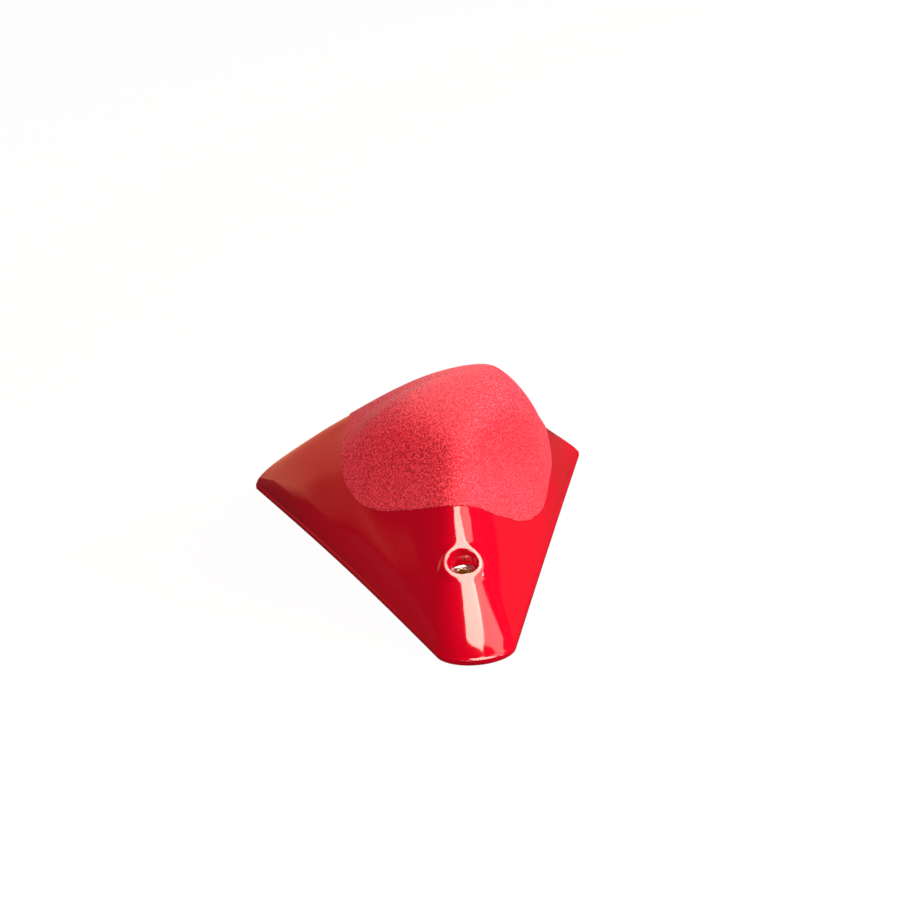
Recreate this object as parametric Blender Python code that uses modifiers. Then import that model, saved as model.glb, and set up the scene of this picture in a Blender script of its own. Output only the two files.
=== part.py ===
"""A fibreglass sloper hold: a hollow gel-coated shell with a raised sand-textured grip,
a bolt seat on the nose ridge and plywood stiffening inside. Metres, +Z away from the wall,
nose toward -Y, origin at the middle of the base."""

import math

import bmesh
import bpy
import numpy as np
from mathutils import Vector
from mathutils.bvhtree import BVHTree

# Overall plan
width = 0.240
length = 0.3855
height = 0.126
nose_radius = 0.026
nose_shift = -0.001           # of the nose centre, to the right of the middle
right_corner_setback = 0.0075 # right corner lies nearer the nose than the left one
corner_radius = 0.004
left_edge_bow = -0.0024       # edges curve in a little between the corners
right_edge_bow = -0.0003
back_edge_bow = -0.0076

# Walls and coats
rim_height = 0.0035
wall = 0.0042
grip_coat = 0.0013
seam_gap = 0.0003

# Bolt seat on the nose ridge, for an M10 socket-head bolt
seat_from_nose_tip = 0.0640
seat_mouth = 0.0200
seat_depth = 0.0022           # washer floor below the low side of the mouth
seat_floor = 0.0040
sleeve_outer = 0.0140
sleeve_bore = 0.0108
washer_clearance = 0.0003     # round the washer in its well
washer_thickness = 0.0015
block_diameter = 0.0380

# Plywood stiffening
ply = 0.009
rib_recess = 0.002            # ribs stop short of the wall plane
long_rib_x = 0.022
cross_rib_y = 0.062
rib_inset = 0.030             # rib ends stay this far from the rim

# How full each section is against a plain dome, at these shares of the rise
stations = (0.0, 0.25, 0.5, 0.75, 1.0)
belly_fullness = (1.0, 1.21, 1.62, 1.53, 1.165)
nose_fullness = (1.0, 0.62, 0.41, 0.62, 0.61)
left_fullness = (1.0, 0.675, 0.235, 0.11, -0.10)
right_fullness = (1.0, 0.445, -0.105, -0.095, -0.06)
# The middle of the section moves toward the nose as it rises
middle_stations = (0.0, 0.5, 1.0)
middle_x = (0.0365, 0.0196, 0.0418)
middle_y = (0.1363, 0.0507, 0.0194)
# Least distance from the middle between the corners, in degrees round from the nose
waist_turns = (74, 184, 293)
waist_blend = math.radians(7) # width over which one corner's fullness takes over
# The ridges round off as they rise, first over a width and on the dome over a turn
ridge_softening = 0.014
ridge_soft_from, ridge_soft_by = 0.0, 0.35
dome_softening = math.radians(23)
dome_soft_from, dome_soft_by = 0.35, 0.85

# Lower border of the grip: degrees round from the nose, share of the rise
grip_border = (
    (0, 0.371), (4, 0.344), (7, 0.292), (10, 0.240), (14, 0.173), (20, 0.119), (28, 0.098),
    (38, 0.115), (57, 0.160), (74, 0.215), (90, 0.260), (110, 0.275), (126, 0.260),
    (150, 0.190), (180, 0.150), (210, 0.205), (240, 0.370), (257, 0.455), (273, 0.465),
    (287, 0.425), (301, 0.350), (309, 0.287), (318, 0.249), (325, 0.232), (334, 0.242),
    (343, 0.283), (350, 0.329), (356, 0.366),
)

# Mesh fineness
nose_steps = 12
side_steps = 28
corner_steps = 3
back_steps = 12
shell_rings = 8
grip_rings = 11
inner_ring_stride = 2
round_steps = 40

nose_centre = np.array([nose_shift, nose_radius - length / 2])
left_corner = np.array([-width / 2, length / 2])
right_corner = np.array([width / 2, length / 2 - right_corner_setback])


def clear_scene():
    for old in list(bpy.data.objects):
        bpy.data.objects.remove(old, do_unlink=True)


def make_collection(name):
    collection = bpy.data.collections.new(name)
    bpy.context.scene.collection.children.link(collection)
    return collection


def make_material(name, colour, roughness, metallic=0.0):
    material = bpy.data.materials.new(name)
    material.use_nodes = True
    shader = material.node_tree.nodes["Principled BSDF"]
    shader.inputs["Base Color"].default_value = (*colour, 1.0)
    shader.inputs["Roughness"].default_value = roughness
    shader.inputs["Metallic"].default_value = metallic
    return material


def add_object(name, mesh, collection, material=None):
    piece = bpy.data.objects.new(name, mesh)
    collection.objects.link(piece)
    if material:
        mesh.materials.append(material)
    return piece


def mesh_from_grid(name, points, faces):
    mesh = bpy.data.meshes.new(name)
    mesh.from_pydata([tuple(p) for p in points], [], faces)
    mesh.update()
    return mesh


def smooth_through(xs, ys, at):
    """Natural cubic spline through the points (xs, ys), read at the given places."""
    xs, ys, at = np.asarray(xs, float), np.asarray(ys, float), np.asarray(at, float)
    step = np.diff(xs)
    rise = np.diff(ys) / step
    inner = len(xs) - 2
    matrix = np.diag(2 * (step[:-1] + step[1:]))
    matrix += np.diag(step[1:-1], 1) + np.diag(step[1:-1], -1)
    bend = np.zeros(len(xs))
    bend[1:-1] = np.linalg.solve(matrix, 6 * np.diff(rise)) if inner else 0
    k = np.clip(np.searchsorted(xs, at) - 1, 0, len(xs) - 2)
    a, b = xs[k + 1] - at, at - xs[k]
    cubic = (bend[k] * a**3 + bend[k + 1] * b**3) / (6 * step[k])
    low = (ys[k] / step[k] - bend[k] * step[k] / 6) * a
    high = (ys[k + 1] / step[k] - bend[k + 1] * step[k] / 6) * b
    return cubic + low + high


def rounded_corner(before, corner, after, radius, steps):
    """Points of the arc that rounds a corner between two straight directions."""
    u = (before - corner) / np.linalg.norm(before - corner)
    v = (after - corner) / np.linalg.norm(after - corner)
    half = math.acos(float(np.clip(u @ v, -1, 1))) / 2
    centre = corner + (u + v) / np.linalg.norm(u + v) * radius / math.sin(half)
    start = corner + u * radius / math.tan(half) - centre
    end = corner + v * radius / math.tan(half) - centre
    a0 = math.atan2(start[1], start[0])
    turn = (math.atan2(end[1], end[0]) - a0 + math.pi) % (2 * math.pi) - math.pi
    angles = a0 + turn * np.linspace(0, 1, steps + 1)
    return centre + radius * np.stack([np.cos(angles), np.sin(angles)], -1)


def edge_shares(start, end, steps):
    """Shares along an edge, even by a mix of distance along it and turn about the middle."""
    fine = np.linspace(0, 1, 200)
    points = start + (end - start) * fine[:, None] - (middle_x[0], middle_y[0])
    turn = np.unwrap(np.arctan2(points[:, 1], points[:, 0]))
    turn = (turn - turn[0]) / (turn[-1] - turn[0])
    return np.interp(np.linspace(0, 1, steps + 1), (fine + turn) / 2, fine)


def bowed_edge(start, end, bow, steps):
    """Points strictly between two ends, pushed sideways by a half sine."""
    share = edge_shares(start, end, steps)[1:-1, None]
    along = (end - start) / np.linalg.norm(end - start)
    outward = np.array([along[1], -along[0]])
    return start + (end - start) * share + outward * bow * np.sin(math.pi * share)


def tangent_angle(corner, side):
    """Direction from the nose centre to where the edge to a corner leaves the nose arc."""
    reach = corner - nose_centre
    open_angle = math.acos(nose_radius / np.linalg.norm(reach))
    return math.atan2(reach[1], reach[0]) + side * open_angle


def base_outline():
    """The base outline, anticlockwise seen from above, starting on the nose tip."""
    right_angle = tangent_angle(right_corner, -1)
    left_angle = tangent_angle(left_corner, 1) - 2 * math.pi
    tip = -math.pi / 2

    def nose(a, b, steps):
        angles = np.linspace(a, b, steps + 1)
        return nose_centre + nose_radius * np.stack([np.cos(angles), np.sin(angles)], -1)

    to_right = nose(tip, right_angle, nose_steps // 2)
    from_left = nose(left_angle, tip, nose_steps // 2)[:-1]
    right = rounded_corner(to_right[-1], right_corner, left_corner, corner_radius, corner_steps)
    left = rounded_corner(right_corner, left_corner, from_left[0], corner_radius, corner_steps)
    return np.vstack([
        to_right,
        bowed_edge(to_right[-1], right[0], right_edge_bow, side_steps),
        right,
        bowed_edge(right[-1], left[0], back_edge_bow, back_steps),
        left,
        bowed_edge(left[-1], from_left[0], left_edge_bow, side_steps),
        from_left,
    ])


def soft_step(x):
    return 1 / (1 + np.exp(-np.clip(x, -60, 60)))


def ease(value, start, end):
    """Rises smoothly from 0 at start to 1 at end."""
    share = np.clip((value - start) / (end - start), 0, 1)
    return share * share * (3 - 2 * share)


class Form:
    """The hold's outer form: horizontal sections that shrink, round off and move as they rise."""

    def __init__(self):
        self.outline = base_outline()
        middle = np.array([middle_x[0], middle_y[0]])
        rel = self.outline - middle
        self.angle = np.unwrap(np.arctan2(rel[:, 1], rel[:, 0]))
        self.reach = np.linalg.norm(rel, axis=1)
        self.belly = self.reach.min()
        turn = self.angle - self.angle[0]
        right, back, left = [soft_step((turn - math.radians(degrees)) / waist_blend)
                             for degrees in waist_turns]
        is_right, is_left = right * (1 - back), back * (1 - left)
        self.weights = (1 - is_right - is_left, is_left, is_right)
        self.excess = self.reach - self.belly
        self.ridge_excess = self.softened(turn, ridge_softening / self.reach[:, None])
        self.dome_excess = self.softened(turn, dome_softening)
        self.border = self.grip_level(np.degrees(turn))

    def softened(self, turn, spread):
        """The corner excess averaged round the outline over a bell of the given spread."""
        gap = (turn[:, None] - turn[None, :] + math.pi) % (2 * math.pi) - math.pi
        bell = np.exp(-0.5 * (gap / spread) ** 2) * np.gradient(turn)
        return (bell @ self.excess) / bell.sum(1)

    def grip_level(self, degrees):
        around = np.array([d for d, _ in grip_border], float)
        level = np.array([s for _, s in grip_border], float)
        around = np.concatenate([around - 360, around, around + 360])
        return smooth_through(around, np.tile(level, 3), degrees)

    def section(self, level):
        """Points of the section at a level, one share of the rise for each outline point."""
        level = np.broadcast_to(np.asarray(level, float), self.angle.shape)
        on_ridge = ease(level, ridge_soft_from, ridge_soft_by)
        on_dome = ease(level, dome_soft_from, dome_soft_by)
        excess = self.excess + (self.ridge_excess - self.excess) * on_ridge
        excess = excess + (self.dome_excess - excess) * on_dome
        corner = sum(weight * smooth_through(stations, fullness, level) for weight, fullness
                     in zip(self.weights, (nose_fullness, left_fullness, right_fullness)))
        belly = self.belly * smooth_through(stations, belly_fullness, level)
        radius = np.cos(level * math.pi / 2) * (belly + excess * corner)
        x = smooth_through(middle_stations, middle_x, level) + radius * np.cos(self.angle)
        y = smooth_through(middle_stations, middle_y, level) + radius * np.sin(self.angle)
        z = rim_height + (height - rim_height) * np.sin(level * math.pi / 2)
        return np.stack([x, y, z], -1)

    def rings(self):
        """Rings from the wall plane up: base, rim, up to the grip border, then to the crown."""
        base = np.column_stack([self.outline, np.zeros(len(self.outline))])
        lower = [self.section(self.border * j / shell_rings) for j in range(shell_rings + 1)]
        upper = [self.section(self.border + (1 - self.border) * j / grip_rings)
                 for j in range(1, grip_rings)]
        return np.stack([base] + lower + upper), self.crown()

    def crown(self):
        return np.array([middle_x[-1], middle_y[-1], height])


def ring_faces(ring_count, columns, first=0, flip=False):
    """Triangles between neighbouring rings, all split along the same diagonal, facing out."""
    faces = []
    for r in range(ring_count - 1):
        for c in range(columns):
            n = (c + 1) % columns
            a, b = first + r * columns + c, first + r * columns + n
            for face in ((a, b, b + columns), (a, b + columns, a + columns)):
                faces.append(face[::-1] if flip else face)
    return faces


def cap_faces(ring_start, columns, pole, flip=False):
    faces = [(ring_start + c, ring_start + (c + 1) % columns, pole) for c in range(columns)]
    return [f[::-1] for f in faces] if flip else faces


def outer_tree(rings, crown):
    count, columns, _ = rings.shape
    points = [Vector(p) for p in rings.reshape(-1, 3)] + [Vector(crown)]
    faces = ring_faces(count, columns) + cap_faces((count - 1) * columns, columns, count * columns)
    return BVHTree.FromPolygons(points, faces)


def inset_points(tree, points, depth):
    """Each point moved in toward the middle of the base until it lies depth under the skin."""
    anchor = Vector((middle_x[1], middle_y[1], 0.0))
    moved = []
    for p in points:
        p = Vector(p)
        inward = anchor - p
        run = inward.length
        near, far = 0.0, None
        step = depth / 4 / run
        s = step
        while s < 0.9:
            if tree.find_nearest(p + inward * s)[3] >= depth:
                far = s
                break
            near = s
            s += step
        for _ in range(18):
            mid = (near + far) / 2
            if tree.find_nearest(p + inward * mid)[3] >= depth:
                far = mid
            else:
                near = mid
        moved.append(tuple(p + inward * far))
    return np.array(moved)


def inner_rings(tree, rings, crown, depth):
    picked = np.concatenate([rings[:1], rings[2::inner_ring_stride]])
    count, columns, _ = picked.shape
    moved = inset_points(tree, picked.reshape(-1, 3), depth).reshape(count, columns, 3)
    moved[0, :, 2] = 0.0
    pole = inset_points(tree, [crown], depth)[0]
    return moved, pole


def shell_mesh(rings, crown, tree):
    """Outer and inner skins joined round the base into one hollow, open-backed body."""
    inner, pole = inner_rings(tree, rings, crown, wall)
    count, columns, _ = rings.shape
    inside = len(inner)
    points = np.vstack([rings.reshape(-1, 3), [crown], inner.reshape(-1, 3), [pole]])
    top = count * columns
    start = top + 1
    faces = ring_faces(count, columns) + cap_faces((count - 1) * columns, columns, top)
    faces += ring_faces(inside, columns, start, flip=True)
    faces += cap_faces(start + (inside - 1) * columns, columns, len(points) - 1, flip=True)
    for c in range(columns):
        n = (c + 1) % columns
        faces.append((c, start + c, start + n, n))
    return mesh_from_grid("shell", points, faces)


def vertex_normals(rings, crown):
    """Outward normals of the grid, from its neighbours along and across the rings."""
    full = np.concatenate([rings, np.broadcast_to(crown, (1, *rings.shape[1:]))])
    along = np.roll(full, -1, axis=1) - np.roll(full, 1, axis=1)
    up = np.gradient(full, axis=0)
    normal = np.cross(along, up)[:-1]
    return normal / np.linalg.norm(normal, axis=-1, keepdims=True)


def grip_mesh(rings, crown):
    """The grip coat over the upper rings, with its own inside face and a square edge."""
    first = shell_rings + 1
    normals = vertex_normals(rings, crown)[first:]
    upper = rings[first:]
    under = upper + normals * seam_gap
    over = upper + normals * (seam_gap + grip_coat)
    count, columns, _ = upper.shape
    up = np.array([0, 0, 1.0])
    top_pole, under_pole = crown + up * (seam_gap + grip_coat), crown + up * seam_gap
    points = np.vstack([over.reshape(-1, 3), [top_pole], under.reshape(-1, 3), [under_pole]])
    start = count * columns + 1
    faces = ring_faces(count, columns)
    faces += cap_faces((count - 1) * columns, columns, count * columns)
    faces += ring_faces(count, columns, start, flip=True)
    faces += cap_faces(start + (count - 1) * columns, columns, len(points) - 1, flip=True)
    for c in range(columns):
        n = (c + 1) % columns
        faces.append((c, start + c, start + n, n))
    return mesh_from_grid("grip_skin", points, faces)


def cavity_mesh(rings, crown, tree, depth, floor):
    """A solid that fills the hollow, depth in from the skin, standing on the given floor."""
    inner, pole = inner_rings(tree, rings, crown, depth)
    inner[0, :, 2] = floor
    count, columns, _ = inner.shape
    points = np.vstack([inner.reshape(-1, 3), [pole]])
    faces = ring_faces(count, columns) + cap_faces((count - 1) * columns, columns, len(points) - 1)
    faces.append(tuple(reversed(range(columns))))
    return mesh_from_grid("cavity", points, faces)


def add_post(name, collection, x, y, low, high, wide, deep=None):
    """An upright round or oval post as a cutter or a solid."""
    bpy.ops.mesh.primitive_cylinder_add(
        vertices=round_steps, radius=0.5, depth=1.0, end_fill_type="NGON")
    post = bpy.context.object
    post.name = name
    for old in post.users_collection:
        old.objects.unlink(post)
    collection.objects.link(post)
    for vertex in post.data.vertices:
        vertex.co.x = x + vertex.co.x * wide
        vertex.co.y = y + vertex.co.y * (deep or wide)
        vertex.co.z = low + (vertex.co.z + 0.5) * (high - low)
    return post


def add_slab(name, collection, low, high):
    bpy.ops.mesh.primitive_cube_add(size=1.0)
    slab = bpy.context.object
    slab.name = name
    for old in slab.users_collection:
        old.objects.unlink(slab)
    collection.objects.link(slab)
    for vertex in slab.data.vertices:
        for axis in range(3):
            vertex.co[axis] = low[axis] + (vertex.co[axis] + 0.5) * (high[axis] - low[axis])
    return slab


def use_boolean(piece, other, operation):
    step = piece.modifiers.new(operation.lower() + "_" + other.name, "BOOLEAN")
    step.object = other
    step.operation = operation
    step.solver = "EXACT"
    return step


def make_guide(piece):
    piece.hide_render = True
    piece.display_type = "WIRE"


def turned_ring(name, collection, material, x, y, low, high, inner, outer, bevel):
    """A washer or sleeve: a closed profile turned round an upright axis."""
    mesh = bpy.data.meshes.new(name)
    profile = [(outer / 2, high), (outer / 2, low), (inner / 2, low), (inner / 2, high)]
    mesh.from_pydata([(r, 0, z) for r, z in profile], [(i, (i + 1) % 4) for i in range(4)], [])
    ring = add_object(name, mesh, collection, material)
    ring.location = (x, y, 0)
    screw = ring.modifiers.new("turn", "SCREW")
    screw.axis = "Z"
    screw.angle = 2 * math.pi
    screw.steps = screw.render_steps = round_steps
    screw.use_merge_vertices = True
    screw.merge_threshold = 0.00005
    screw.use_smooth_shade = False
    edge = ring.modifiers.new("edge", "BEVEL")
    edge.width = bevel
    edge.segments = 1
    edge.limit_method = "ANGLE"
    edge.angle_limit = math.radians(60)
    return ring


def shade(piece):
    piece.data.shade_smooth()
    piece.data.set_sharp_from_angle(angle=math.radians(40))


def build():
    clear_scene()
    parts = make_collection("sloper_hold")
    guides = make_collection("cutters")

    gel_coat = make_material("gel_coat", (0.62, 0.0, 0.01), 0.12)
    grip_sand = make_material("grip_sand", (0.66, 0.06, 0.09), 0.85)
    birch_ply = make_material("birch_ply", (0.62, 0.44, 0.26), 0.7)
    steel = make_material("steel", (0.75, 0.75, 0.76), 0.28, 1.0)
    zinc = make_material("zinc_plate", (0.68, 0.55, 0.30), 0.32, 1.0)

    form = Form()
    rings, crown = form.rings()
    tree = outer_tree(rings, crown)

    # Bolt seat: an upright oval well whose mouth is round on the sloping ridge
    seat_y = nose_centre[1] - nose_radius + seat_from_nose_tip
    above = Vector((nose_shift, seat_y, height))
    ridge, slope, _, _ = tree.ray_cast(above, Vector((0, 0, -1)))
    seat_x = ridge.x
    tilt = math.acos(abs(slope.z) / slope.length)
    well_deep = seat_mouth * math.cos(tilt)
    mouth_low = ridge.z - well_deep / 2 * math.tan(tilt)
    floor_top = mouth_low - seat_depth
    floor_under = floor_top - seat_floor

    shell = add_object("shell", shell_mesh(rings, crown, tree), parts, gel_coat)
    shade(shell)
    cup = add_post("cup", guides, seat_x, seat_y, floor_under, ridge.z,
                   seat_mouth + 2 * wall, well_deep + 2 * wall)
    cap = add_object("hold_form", cavity_mesh(rings, crown, tree, wall / 2, 0.0), guides)
    use_boolean(cup, cap, "INTERSECT")
    well = add_post("well", guides, seat_x, seat_y, floor_top, height, seat_mouth, well_deep)
    bore = add_post("bore", guides, seat_x, seat_y, -0.01, height, sleeve_outer + 2 * seam_gap)
    use_boolean(shell, cup, "UNION")
    use_boolean(shell, well, "DIFFERENCE")
    use_boolean(shell, bore, "DIFFERENCE")

    grip = add_object("grip_skin", grip_mesh(rings, crown), parts, grip_sand)
    shade(grip)

    washer_low = floor_top + seam_gap
    washer_outer = well_deep - 2 * washer_clearance
    turned_ring("washer", parts, steel, seat_x, seat_y, washer_low,
                washer_low + washer_thickness, sleeve_bore, washer_outer, 0.0003)
    turned_ring("bolt_sleeve", parts, zinc, seat_x, seat_y, 0.0,
                washer_low - seam_gap, sleeve_bore, sleeve_outer, 0.0002)

    hollow = add_object("hollow", cavity_mesh(rings, crown, tree, wall + seam_gap, 0.0), guides)
    block = add_post("bolt_block", parts, seat_x, seat_y, 0.0, floor_under - seam_gap,
                     block_diameter)
    block.data.materials.append(birch_ply)
    use_boolean(block, hollow, "INTERSECT")
    use_boolean(block, bore, "DIFFERENCE")

    inside = add_object("rib_space",
                        cavity_mesh(rings, crown, tree, wall + seam_gap, rib_recess), guides)
    front_end = seat_y + block_diameter / 2 + seam_gap
    back_end = right_corner[1] - rib_inset
    side_a = long_rib_x - ply / 2
    side_b = long_rib_x + ply / 2
    cross_a = cross_rib_y - ply / 2
    cross_b = cross_rib_y + ply / 2
    slabs = {
        "rib_long": ((side_a, front_end, 0.0), (side_b, back_end, height)),
        "rib_left": ((-width, cross_a, 0.0), (side_a - seam_gap, cross_b, height)),
        "rib_right": ((side_b + seam_gap, cross_a, 0.0), (width, cross_b, height)),
    }
    for name, (low, high) in slabs.items():
        rib = add_slab(name, parts, low, high)
        rib.data.materials.append(birch_ply)
        use_boolean(rib, inside, "INTERSECT")

    for guide in guides.objects:
        make_guide(guide)


build()
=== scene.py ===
import math

import bpy
import numpy as np
from mathutils import Matrix, Quaternion, Vector


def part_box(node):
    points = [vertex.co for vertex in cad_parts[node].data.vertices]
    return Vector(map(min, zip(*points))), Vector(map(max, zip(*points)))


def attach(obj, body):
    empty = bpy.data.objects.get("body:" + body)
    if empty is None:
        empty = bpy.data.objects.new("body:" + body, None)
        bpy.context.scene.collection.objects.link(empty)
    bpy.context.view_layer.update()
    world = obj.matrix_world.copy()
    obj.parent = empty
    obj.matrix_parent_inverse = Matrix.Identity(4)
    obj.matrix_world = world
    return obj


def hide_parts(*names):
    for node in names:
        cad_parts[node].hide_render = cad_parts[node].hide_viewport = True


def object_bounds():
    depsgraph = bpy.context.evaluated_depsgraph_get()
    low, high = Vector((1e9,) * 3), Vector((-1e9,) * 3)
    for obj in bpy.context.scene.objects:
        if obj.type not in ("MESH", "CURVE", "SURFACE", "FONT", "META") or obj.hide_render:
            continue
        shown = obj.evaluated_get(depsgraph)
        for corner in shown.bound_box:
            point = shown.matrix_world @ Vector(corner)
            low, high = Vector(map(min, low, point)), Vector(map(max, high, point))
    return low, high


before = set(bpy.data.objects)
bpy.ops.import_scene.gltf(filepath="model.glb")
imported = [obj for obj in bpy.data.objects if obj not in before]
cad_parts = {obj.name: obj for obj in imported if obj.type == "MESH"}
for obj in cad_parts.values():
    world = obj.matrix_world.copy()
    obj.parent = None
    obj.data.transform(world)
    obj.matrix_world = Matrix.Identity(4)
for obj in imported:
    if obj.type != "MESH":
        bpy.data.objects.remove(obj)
cadLow, cadHigh = [np.array(corner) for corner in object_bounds()]
mm = 0.001

washerLow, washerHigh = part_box("washer")
boltAxis = np.array([(washerLow.x + washerHigh.x) / 2, (washerLow.y + washerHigh.y) / 2])


# Shared tools

def linearColour(code):
    # sRGB hex code to the linear values a shader takes
    parts = [int(code[i:i + 2], 16) / 255 for i in (1, 3, 5)]
    linear = [p / 12.92 if p <= 0.04045 else ((p + 0.055) / 1.055) ** 2.4 for p in parts]
    return (*linear, 1.0)


def perMetre(size):
    # A texture's Scale for a pattern of this real size: whole repeats in a metre
    return float(round(1 / size))


def addNode(tree, kind, links=None, **settings):
    # One node with its settings; a link is a socket, anything else is a fixed value
    node = tree.nodes.new(kind)
    for name, value in settings.items():
        setattr(node, name, value)
    for name, value in (links or {}).items():
        if isinstance(value, bpy.types.NodeSocket):
            tree.links.new(value, node.inputs[name])
        else:
            node.inputs[name].default_value = value
    return node


def newMaterial(name, **fixed):
    # A Principled shader with its fixed values, and the piece's own coordinates
    material = bpy.data.materials.new(name)
    material.use_nodes = True
    tree = material.node_tree
    shader = tree.nodes["Principled BSDF"]
    for socket, value in fixed.items():
        shader.inputs[socket.replace("_", " ")].default_value = value
    place = addNode(tree, "ShaderNodeTexCoord").outputs["Object"]
    return material, tree, shader, place


def quadsOf(index):
    # Quads between neighbouring rows of an index table whose rows are closed loops
    ahead = np.roll(index, -1, axis=1)
    return np.stack([index[:-1], ahead[:-1], ahead[1:], index[1:]], -1)


def fanOf(loop, pole):
    # Triangles from a closed loop to a single point
    return np.stack([loop, np.roll(loop, -1), np.full(len(loop), pole)], -1)


def makePiece(name, points, faces, materials, slots=None):
    # faces is a list of arrays of triangles or quads, slots the material of each array
    mesh = bpy.data.meshes.new(name)
    faces = [f.reshape(-1, f.shape[-1]) for f in faces]
    loops = np.concatenate([f.ravel() for f in faces]).astype(np.int32)
    sizes = np.concatenate([np.full(len(f), f.shape[1]) for f in faces])
    mesh.vertices.add(len(points))
    mesh.vertices.foreach_set("co", np.asarray(points, np.float32).ravel())
    mesh.loops.add(len(loops))
    mesh.loops.foreach_set("vertex_index", loops)
    mesh.polygons.add(len(sizes))
    mesh.polygons.foreach_set("loop_start", (np.cumsum(sizes) - sizes).astype(np.int32))
    slots = slots or [0] * len(faces)
    which = np.concatenate([np.full(len(f), s) for f, s in zip(faces, slots)]).astype(np.int32)
    mesh.polygons.foreach_set("material_index", which)
    mesh.polygons.foreach_set("use_smooth", np.ones(len(sizes), bool))
    mesh.update(calc_edges=True)
    mesh.validate()
    for material in materials:
        mesh.materials.append(material)
    piece = bpy.data.objects.new(name, mesh)
    bpy.context.scene.collection.objects.link(piece)
    return piece


def hashed(cells, seed):
    # A repeatable number from 0 to 1 for each whole-numbered cell
    mixed = cells @ np.array([127.1, 311.7, 74.7]) + seed * 53.3
    return np.modf(np.abs(np.sin(mixed) * 43758.5453))[0]


def softNoise(points, size, seed=0):
    # Smooth value noise: eight cell corners blended by an eased share along each axis
    grid = points / size
    cell = np.floor(grid)
    share = grid - cell
    share = share * share * (3 - 2 * share)
    total = np.zeros(len(points))
    for corner in np.ndindex(2, 2, 2):
        pick = np.array(corner)
        weight = np.prod(np.where(pick == 1, share, 1 - share), axis=1)
        total += weight * hashed(cell + pick, seed)
    return total


def nearestSpeck(points, size, seed=0):
    # Distance to the nearest of one jittered speck per cell, in cell sizes
    grid = points / size
    cell = np.floor(grid)
    best = np.full(len(points), 9.0)
    for step in np.ndindex(3, 3, 3):
        near = cell + np.array(step) - 1
        spot = np.stack([hashed(near, seed + k) for k in range(3)], -1)
        best = np.minimum(best, np.sum((near + spot - grid) ** 2, axis=1))
    return np.sqrt(best)


def ease(value, start, end):
    # Rises smoothly from 0 at start to 1 at end
    share = np.clip((value - start) / (end - start), 0, 1)
    return share * share * (3 - 2 * share)


def smoothThrough(xs, ys, at):
    # Natural cubic spline through the points (xs, ys), read at the given places
    xs, ys, at = np.asarray(xs, float), np.asarray(ys, float), np.asarray(at, float)
    step = np.diff(xs)
    rise = np.diff(ys) / step
    matrix = np.diag(2 * (step[:-1] + step[1:])) + np.diag(step[1:-1], 1) + np.diag(step[1:-1], -1)
    bend = np.zeros(len(xs))
    bend[1:-1] = np.linalg.solve(matrix, 6 * np.diff(rise))
    k = np.clip(np.searchsorted(xs, at) - 1, 0, len(xs) - 2)
    a, b = xs[k + 1] - at, at - xs[k]
    cubic = (bend[k] * a**3 + bend[k + 1] * b**3) / (6 * step[k])
    return (cubic + (ys[k] / step[k] - bend[k] * step[k] / 6) * a
            + (ys[k + 1] / step[k] - bend[k + 1] * step[k] / 6) * b)


# The hold's form: the same loft as the frame's shell, read at any column and level.
# A column runs round the outline from the nose tip, a level from 0 at the rim to 1 at the crown.

formShape = {
    "width": 240 * mm, "length": 385.5 * mm, "height": 126 * mm, "rimHeight": 3.5 * mm,
    "noseRadius": 26 * mm, "noseShift": -1 * mm, "rightSetback": 7.5 * mm, "cornerRadius": 4 * mm,
    "leftBow": -2.4 * mm, "rightBow": -0.3 * mm, "backBow": -7.6 * mm,
    "noseSteps": 64, "sideSteps": 170, "cornerSteps": 14, "backSteps": 110,
    # How full the sections are at these levels: all round, then towards each of the three corners
    "stations": (0.0, 0.25, 0.5, 0.75, 1.0),
    "belly": (1.0, 1.21, 1.62, 1.53, 1.165),
    "nose": (1.0, 0.62, 0.41, 0.62, 0.61),
    "left": (1.0, 0.675, 0.235, 0.11, -0.10),
    "right": (1.0, 0.445, -0.105, -0.095, -0.06),
    # Where the middle of the sections lies at these levels
    "middleStations": (0.0, 0.5, 1.0),
    "middleX": (36.5 * mm, 19.6 * mm, 41.8 * mm),
    "middleY": (136.3 * mm, 50.7 * mm, 19.4 * mm),
    "waistTurns": (74, 184, 293), "waistBlend": math.radians(7),   # where corner hands over to corner
    "ridgeSoftening": 14 * mm, "ridgeLevels": (0.0, 0.35),
    "domeSoftening": math.radians(23), "domeLevels": (0.35, 0.85),
}
baseMiddle = np.array([formShape["middleX"][0], formShape["middleY"][0]])
noseCentre = np.array([formShape["noseShift"], formShape["noseRadius"] - formShape["length"] / 2])
leftCorner = np.array([-formShape["width"] / 2, formShape["length"] / 2])
rightCorner = np.array([formShape["width"] / 2, formShape["length"] / 2 - formShape["rightSetback"]])


def arcPoints(centre, radius, start, end, steps):
    # Even points on an arc, both ends among them
    turn = np.linspace(start, end, steps + 1)
    return centre + radius * np.stack([np.cos(turn), np.sin(turn)], -1)


def roundedCorner(before, corner, after):
    # The arc that touches both straight sides of a corner
    radius = formShape["cornerRadius"]
    u = (before - corner) / np.linalg.norm(before - corner)
    v = (after - corner) / np.linalg.norm(after - corner)
    half = math.acos(float(u @ v)) / 2
    centre = corner + (u + v) / np.linalg.norm(u + v) * radius / math.sin(half)
    start = corner + u * radius / math.tan(half) - centre
    end = corner + v * radius / math.tan(half) - centre
    first = math.atan2(start[1], start[0])
    turn = (math.atan2(end[1], end[0]) - first + math.pi) % (2 * math.pi) - math.pi
    return arcPoints(centre, radius, first, first + turn, formShape["cornerSteps"])


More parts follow.
